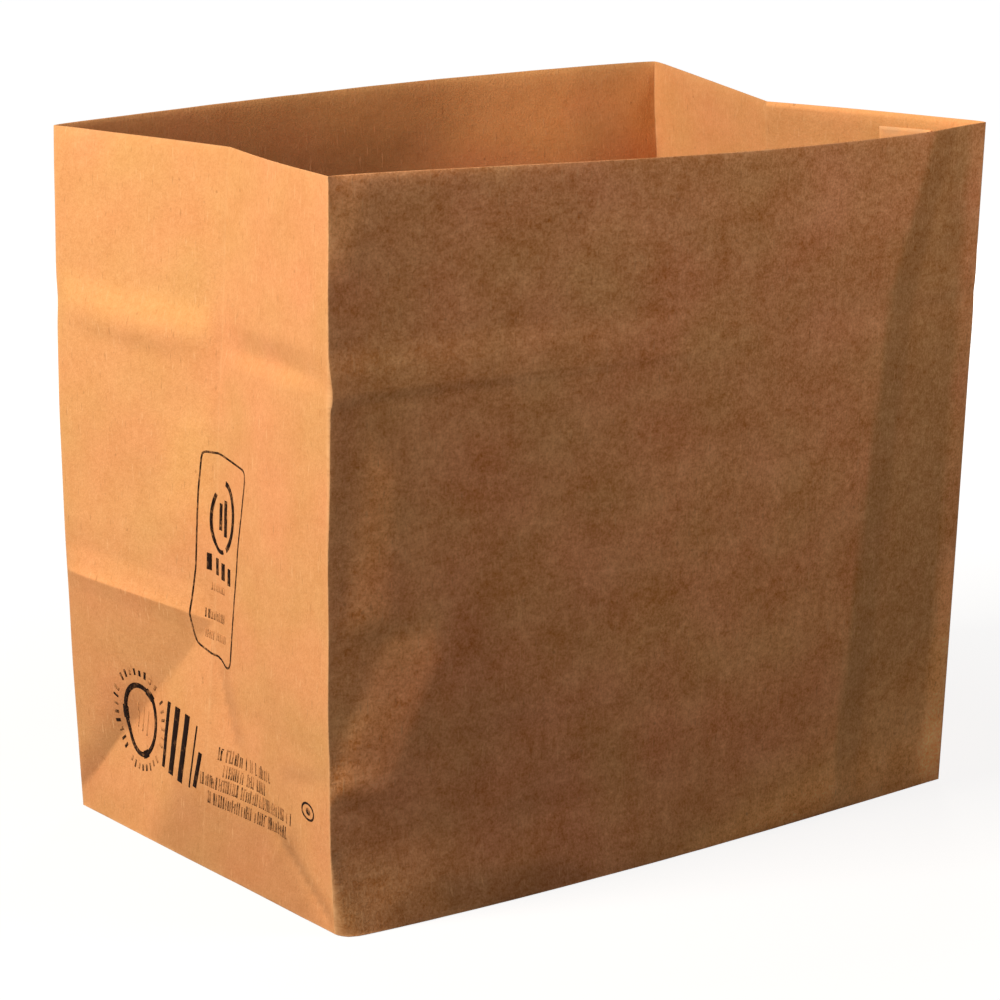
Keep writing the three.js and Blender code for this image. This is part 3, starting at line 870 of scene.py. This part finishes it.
# Flat marks, as strips of short pieces, gathered for one mesh
class FlatMarks:
    def __init__(self):
        self.points, self.faces, self.fades = [], [], []

    def onSheet(self, x, z):
        margin = sheet["margin"]
        return (2 * (sheet["width"] + sheet["depth"]) - x, z + 2 * margin)

    def strip(self, path, wide, closed=False, fade=0.1):
        flatPath = [self.onSheet(x, z) for x, z in path]
        if closed:
            flatPath.append(flatPath[0])
        dense = [flatPath[0]]
        for (ax, az), (bx, bz) in zip(flatPath, flatPath[1:]):
            count = max(1, math.ceil(math.dist((ax, az), (bx, bz)) / ink["piece"]))
            dense += [(mix(ax, bx, i / count), mix(az, bz, i / count)) for i in range(1, count + 1)]
        if closed:
            dense.pop()
        count = len(dense)
        rows = max(1, math.ceil(wide / ink["piece"]))
        first = len(self.points)
        for i, (x, z) in enumerate(dense):
            ahead = dense[(i + 1) % count] if closed else dense[min(i + 1, count - 1)]
            behind = dense[i - 1] if closed or i else dense[0]
            tx, tz = ahead[0] - behind[0], ahead[1] - behind[1]
            size = math.hypot(tx, tz) or 1
            for k in range(rows + 1):
                off = wide * (k / rows - 0.5)
                self.points.append((x + tz / size * off, z - tx / size * off))
                self.fades.append(fade)
        for i in range(count if closed else count - 1):
            n = (i + 1) % count
            for k in range(rows):
                a, b = first + i * (rows + 1) + k, first + n * (rows + 1) + k
                self.faces.append((a, a + 1, b + 1, b))

    def ring(self, middle, radii, wide, start=0, finish=360, lean=0, fade=0.1):
        turn = math.radians(lean)
        whole = finish - start >= 360
        count = max(8, math.ceil(math.radians(finish - start) * max(radii) / ink["piece"]))
        path = []
        for i in range(count if whole else count + 1):
            a = math.radians(start + (finish - start) * i / count)
            x, z = radii[0] * math.cos(a), radii[1] * math.sin(a)
            path.append((middle[0] - x * math.cos(turn) + z * math.sin(turn),
                         middle[1] + x * math.sin(turn) + z * math.cos(turn)))
        self.strip(path, wide, whole, fade)


def rounded(path, corner, times=2):
    for _ in range(times):
        cut = []
        for (ax, az), (bx, bz) in zip(path, path[1:] + path[:1]):
            share = min(0.25, corner / math.dist((ax, az), (bx, bz)))
            cut += [(mix(ax, bx, share), mix(az, bz, share)), (mix(bx, ax, share), mix(bz, az, share))]
        path = cut
    return path


def drawBadge(marks, draw):
    cx, cz = badge["middle"]
    rx, rz = badge["radii"]
    marks.ring((cx, cz), (rx, rz), badge["line"])
    for at in badge["beads"]:
        marks.ring((cx, cz), (rx, rz), badge["beadWide"], at - badge["beadHalf"], at + badge["beadHalf"])
    stepX, stepZ = badge["strokeStep"]
    for i in range(badge["strokes"]):
        foot, head = badge["strokeFoot"], badge["strokeHead"]
        ends = [(cx + x + stepX * i, cz + z + stepZ * i) for x, z in (foot, head)]
        marks.strip(ends, badge["strokeWide"], fade=badge["strokeFade"])
    first, every = badge["missing"]
    for i in range(badge["ticks"]):
        if i % every == first:
            continue
        a = 2 * math.pi * i / badge["ticks"]
        wide, tall = badge["tick"]
        inner = 1 + badge["gap"] / rz
        outer = inner + tall * draw.uniform(*badge["tall"]) / rz
        ends = [(cx - rx * badge["oval"] * k * math.cos(a), cz + rz * k * math.sin(a))
                for k in (inner, outer)]
        marks.strip(ends, wide * draw.uniform(*badge["wide"]), fade=draw.uniform(*badge["fade"]))


def drawLineRows(marks, draw):
    varies = rowStroke["fadeVaries"]
    for start, finish, z, tall, fade in lineRows:
        x = start
        while x > finish:
            wide = draw.choice(rowStroke["wide"])
            high = tall * draw.choice(rowStroke["tall"])
            foot = z - tall / 2
            marks.strip([(x, foot), (x, foot + high)], wide, fade=fade + draw.uniform(-varies, varies))
            if draw.random() < rowStroke["crossed"]:
                level = z + draw.choice(rowStroke["crossAt"]) * tall
                ends = [(x, level), (x - rowStroke["crossLong"], level)]
                marks.strip(ends, rowStroke["crossWide"], fade=fade)
            step = draw.choice(rowStroke["steps"])
            x -= step + (rowStroke["gap"] if draw.random() < rowStroke["gapped"] else 0)


def drawMarks():
    marks = FlatMarks()
    draw = random.Random(ink["seed"])
    path = rounded(list(frameMark["path"]), frameMark["corner"])
    marks.strip(path, frameMark["line"], True, frameMark["fade"])
    for line, start, finish in ringMark["arcs"]:
        marks.ring(ringMark["middle"], ringMark["radii"], line, start, finish, ringMark["lean"])
    cz = ringMark["middle"][1]
    for x, half in ringMark["bars"]:
        marks.strip([(x, cz - half), (x, cz + half)], ringMark["barWide"])
    drawBadge(marks, draw)
    for x, wide, middle, tall in tallBars:
        foot, head = (x + tallLean, middle - tall / 2), (x - tallLean, middle + tall / 2)
        marks.strip([foot, head], wide, fade=tallFade)
    drawLineRows(marks, draw)
    half = boldRow["tall"] / 2
    for i in range(boldRow["count"]):
        share = i / (boldRow["count"] - 1)
        x, z = (mix(a, b, share) for a, b in zip(boldRow["from"], boldRow["to"]))
        marks.strip([(x, z - half), (x, z + half)], boldRow["wide"][i % 2])
    marks.ring(dotRing["middle"], dotRing["radii"], dotRing["line"])
    marks.ring(dotRing["middle"], dotRing["dot"], dotRing["dotLine"], fade=dotRing["dotFade"])
    return marks


# Lays a flat mesh on the sheet: its x and y are places on the flat paper
def onSheetTree():
    inputs = {"sheetObject": "Object", "lift": "Float", "material": "Material"}
    tree, source = startGroup("laidOnSheet", inputs)
    carrier = addNode(tree, "GeometryNodeObjectInfo", {"Object": source["sheetObject"]}).outputs["Geometry"]
    uv = storedValue(tree, "sheet", "FLOAT_VECTOR")
    place = tree.nodes.new("GeometryNodeInputPosition").outputs[0]
    normal = tree.nodes.new("GeometryNodeInputNormal").outputs[0]
    found = []
    for value in (place, normal):
        inputs = {"Mesh": carrier, "Value": value, "Source UV Map": uv, "Sample UV": place}
        sampled = addNode(tree, "GeometryNodeSampleUVSurface", inputs, data_type="FLOAT_VECTOR")
        found.append(sampled.outputs[0])
    height = mathNode(tree, "ADD", source["lift"], storedValue(tree, "stand"))
    target = vectorNode(tree, "ADD", found[0], vectorNode(tree, "SCALE", found[1], scale=height))
    inputs = {"Geometry": source["Geometry"], "Name": "sheet", "Value": place}
    stored = addNode(tree, "GeometryNodeStoreNamedAttribute", inputs, data_type="FLOAT2", domain="CORNER")
    moved = addNode(tree, "GeometryNodeSetPosition", {"Geometry": stored.outputs[0], "Position": target})
    return finishGroup(tree, moved.outputs[0], source["material"])


# A thin piece from flat points in millimetres of paper, laid on the sheet and given thickness
def laidPiece(name, points, faces, values, tree, skin, lift, thick, material):
    piece = addObject(name, paperMesh(name, [(x * mm, y * mm, 0) for x, y in points], faces, values))
    laid = piece.modifiers.new("laid", "NODES")
    laid.node_group = tree
    setInputs(laid, {"sheetObject": skin, "lift": lift * mm, "material": material})
    return thicken(piece, thick, 1)


def inkMaterial():
    material, tree = newMaterial("printInk")
    shader = tree.nodes["Principled BSDF"]
    noise = {name: stretchedNoise(tree, **values) for name, values in inkNoises.items()}
    grain = mathNode(tree, "MULTIPLY", noise["grain"], ink["grainShare"])
    cover = mathNode(tree, "MULTIPLY_ADD", noise["patchy"], ink["patchyShare"], grain)
    bare = ramp(tree, mathNode(tree, "ADD", cover, attribute(tree, "fade")), *ink["bare"])
    tree.links.new(mixColour(tree, bare, ink["colour"], kraft["base"]), shader.inputs["Base Color"])
    shader.inputs["Roughness"].default_value = ink["roughness"]
    shader.inputs["Specular IOR Level"].default_value = ink["specular"]
    return material


# The lap seam's inner ply, inside the right gusset. It stands off and is worn paler at its top edge
seam = {"from": 21, "to": 41, "foot": 1.5, "belowRim": 5, "across": 16, "up": 170,
        "gap": 0.03, "stand": 0.5, "edge": 6, "wear": (1.1, 0.35), "wearAndPaintedShading": (0.5, 0.12)}


def seamPly(tree, skin, material):
    points, faces = [], []
    values = {"stand": [], "foldWear": [], "wearAndPaintedShading": []}
    across = np.linspace(seam["from"], seam["to"], seam["across"])
    rim = float(gussetRim(rightGusset, np.array(seam["to"] / sheet["depth"])))
    top = rim - seam["belowRim"]
    up = np.linspace(seam["foot"], top, seam["up"])
    for z in up:
        edge = max(0.0, 1 - (top - z) / seam["edge"])
        for x in across:
            points.append((sheet["width"] + x, z + 2 * sheet["margin"]))
            values["stand"].append(-seam["stand"] * edge * edge * mm)
            values["foldWear"].append(onLine(*seam["wear"], edge))
            values["wearAndPaintedShading"].append(onLine(*seam["wearAndPaintedShading"], edge))
    wide = len(across)
    for j in range(len(up) - 1):
        for i in range(wide - 1):
            a = j * wide + i
            faces.append((a, a + wide, a + wide + 1, a + 1))
    lift = -(sheet["paper"] + seam["gap"])
    return laidPiece("seamPly", points, faces, values, tree, skin, lift, sheet["paper"], material)


# The bottom's flaps: two long ones below, of which one laps the other, and two end flaps inside.
# The place that their paper has on the flat sheet is in metres
flaps = {"overlap": 24, "ramp": 6, "endReach": 97, "endGap": 0.03, "inset": 2, "endInset": 1,
         "under": 0.11, "lap": 0.105, "rows": 40, "flatFrom": (0.9, 0.2)}


def flapSheet(name, outline, heightAt, material):
    rows = flaps["rows"]
    points, faces, flat = [], [], []
    for j in range(rows + 1):
        y, left, right = (mix(a, b, j / rows) for a, b in (outline[k] for k in ("y", "left", "right")))
        for i in range(rows + 1):
            x = mix(left, right, i / rows)
            points.append((x * mm, y * mm, heightAt(y) * mm))
            flat.append((x * mm + flaps["flatFrom"][0], y * mm + flaps["flatFrom"][1]))
    for j in range(rows):
        for i in range(rows):
            a = j * (rows + 1) + i
            faces.append((a, a + 1, a + rows + 2, a + rows + 1))
    mesh = paperMesh(name, points, faces, None, [flat[k] for face in faces for k in face])
    mesh.materials.append(material)
    return thicken(addObject(name, mesh), sheet["paper"], 1)


def bottomFlaps(material):
    half, side = sheet["depth"] / 2 - flaps["inset"], sheet["width"] / 2 - flaps["inset"]
    reach = flaps["overlap"] / 2
    longEdge = half + reach

    def plain(y):
        return flaps["under"]

    def lapped(y):
        return flaps["under"] - flaps["lap"] * min(1, max(0, (reach + flaps["ramp"] - y) / flaps["ramp"]))

    def inside(y):
        return floorLevel + flaps["endGap"]

    under = {"y": (-half, reach), "left": (-side, -side + longEdge), "right": (side, side - longEdge)}
    over = {"y": (half, -reach), "left": (side, side - longEdge), "right": (-side, -side + longEdge)}
    pieces = [flapSheet("flapUnder", under, plain, material), flapSheet("flapOver", over, lapped, material)]
    for end, name in ((-1, "endFlapLeft"), (1, "endFlapRight")):
        left, right = sorted((end * (side - flaps["endInset"]), end * (side - flaps["endReach"])))
        edges = {"y": (-half, half), "left": (left, left), "right": (right, right)}
        pieces.append(flapSheet(name, edges, inside, material))
    return pieces


# Square lamps round the bag. Each comes from two angles: from the printed side toward the front,
# and up
lights = {
    "aim": (0, 0, 0.12),
    "key": {"from": (-4, 33), "distance": 1.2, "size": 0.42, "power": 16.5, "colour": (1.0, 0.93, 0.80)},
    "fill": {"from": (120, 47), "distance": 0.52, "size": 0.22, "power": 0.84, "colour": (1.0, 0.86, 0.79)},
    "back": {"from": (225, 3), "distance": 1.2, "size": 0.24, "power": 7.0, "colour": (1.0, 0.95, 0.86)},
    "sky": 0.03, "skyColour": (0.8, 0.85, 1.0),
}
floor = {"half": 14.0, "seen": 0.84, "lit": 0.2, "bounce": 0.30, "whiteFrom": 0.2, "whiteBy": 0.7}
view = {"place": (-0.7201, -1.0120, 0.4119), "heading": 35.29, "dip": 13.71, "roll": -0.72,
        "lens": 129.57, "sensor": 36, "near": 0.05, "far": 60}


# Lenses see the floor pale and shaded by the bag, whiter with distance. Other rays see it plain
def floorMaterial():
    material, tree = newMaterial("paleFloor")
    tree.nodes.clear()
    where = addNode(tree, "ShaderNodeTexCoord").outputs["Object"]
    far = ramp(tree, vectorNode(tree, "LENGTH", where), floor["whiteFrom"], floor["whiteBy"])
    shine = mathNode(tree, "MULTIPLY_ADD", far, 1.0 - floor["seen"], floor["seen"])
    glow = addNode(tree, "ShaderNodeEmission", {"Color": (1, 1, 1, 1), "Strength": shine})
    lit = addNode(tree, "ShaderNodeBsdfDiffuse", {"Color": (floor["lit"],) * 3 + (1,)})
    seen = addNode(tree, "ShaderNodeAddShader", {0: glow.outputs[0], 1: lit.outputs[0]})
    bounce = addNode(tree, "ShaderNodeBsdfDiffuse", {"Color": (floor["bounce"],) * 3 + (1,)})
    ray = addNode(tree, "ShaderNodeLightPath").outputs
    straight = mathNode(tree, "MAXIMUM", ray["Is Camera Ray"], ray["Is Glossy Ray"])
    both = addNode(tree, "ShaderNodeMixShader", {0: straight, 1: bounce.outputs[0], 2: seen.outputs[0]})
    addNode(tree, "ShaderNodeOutputMaterial", {"Surface": both.outputs[0]})
    return material


def buildLamp(name, wanted):
    lamp = bpy.data.lights.new(name, "AREA")
    lamp.shape = "SQUARE"
    lamp.size = wanted["size"]
    lamp.energy = wanted["power"]
    lamp.color = wanted["colour"]
    holder = addObject(name, lamp)
    turned, raised = (math.radians(v) for v in wanted["from"])
    level = math.cos(raised)
    way = Vector((-level * math.cos(turned), -level * math.sin(turned), math.sin(raised)))
    holder.location = Vector(lights["aim"]) + wanted["distance"] * way
    holder.rotation_euler = way.to_track_quat("Z", "Y").to_euler()


def buildStage():
    half = floor["half"]
    corners = [(x, y, 0) for x, y in ((-half, -half), (half, -half), (half, half), (-half, half))]
    mesh = bpy.data.meshes.new("floor")
    mesh.from_pydata(corners, [], [(0, 1, 2, 3)])
    mesh.materials.append(floorMaterial())
    addObject("floor", mesh)

    world = bpy.data.worlds.new("studio")
    world.use_nodes = True
    bpy.context.scene.world = world
    tree = world.node_tree
    tree.nodes.clear()
    sky = {"Color": lights["skyColour"] + (1,), "Strength": lights["sky"]}
    soft = addNode(tree, "ShaderNodeBackground", sky)
    white = addNode(tree, "ShaderNodeBackground", {"Color": (1, 1, 1, 1), "Strength": 1.0})
    ray = addNode(tree, "ShaderNodeLightPath").outputs
    shown = {0: ray["Is Camera Ray"], 1: soft.outputs[0], 2: white.outputs[0]}
    both = addNode(tree, "ShaderNodeMixShader", shown)
    addNode(tree, "ShaderNodeOutputWorld", {"Surface": both.outputs[0]})

    for name in ("key", "fill", "back"):
        buildLamp(name, lights[name])


def buildCamera():
    data = bpy.data.cameras.new("camera")
    data.sensor_width = view["sensor"]
    data.lens = view["lens"]
    data.clip_start, data.clip_end = view["near"], view["far"]
    camera = addObject("camera", data)
    turn = (Matrix.Rotation(-math.radians(view["heading"]), 4, "Z")
            @ Matrix.Rotation(math.radians(90 - view["dip"]), 4, "X")
            @ Matrix.Rotation(math.radians(view["roll"]), 4, "Z"))
    camera.matrix_world = Matrix.Translation(view["place"]) @ turn
    bpy.context.scene.camera = camera


bpy.context.scene.view_settings.view_transform = "Standard"
buildCamera()
buildStage()
print("stage and camera ready")

paper = kraftMaterial()
skin, bag = paperBag(paper)
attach(bag, "root")
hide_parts("paper_bag")

laidTree = onSheetTree()
marks = drawMarks()
inkPiece = laidPiece("printMarks", marks.points, marks.faces, {"fade": marks.fades},
                     laidTree, skin, ink["lift"], ink["thick"], inkMaterial())
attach(inkPiece, "root")
print("print", len(inkPiece.data.polygons), "faces")

for piece in [seamPly(laidTree, skin, paper)] + bottomFlaps(paper):
    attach(piece, "root")
bpy.data.objects.remove(skin)
print("seam ply and flaps ready")
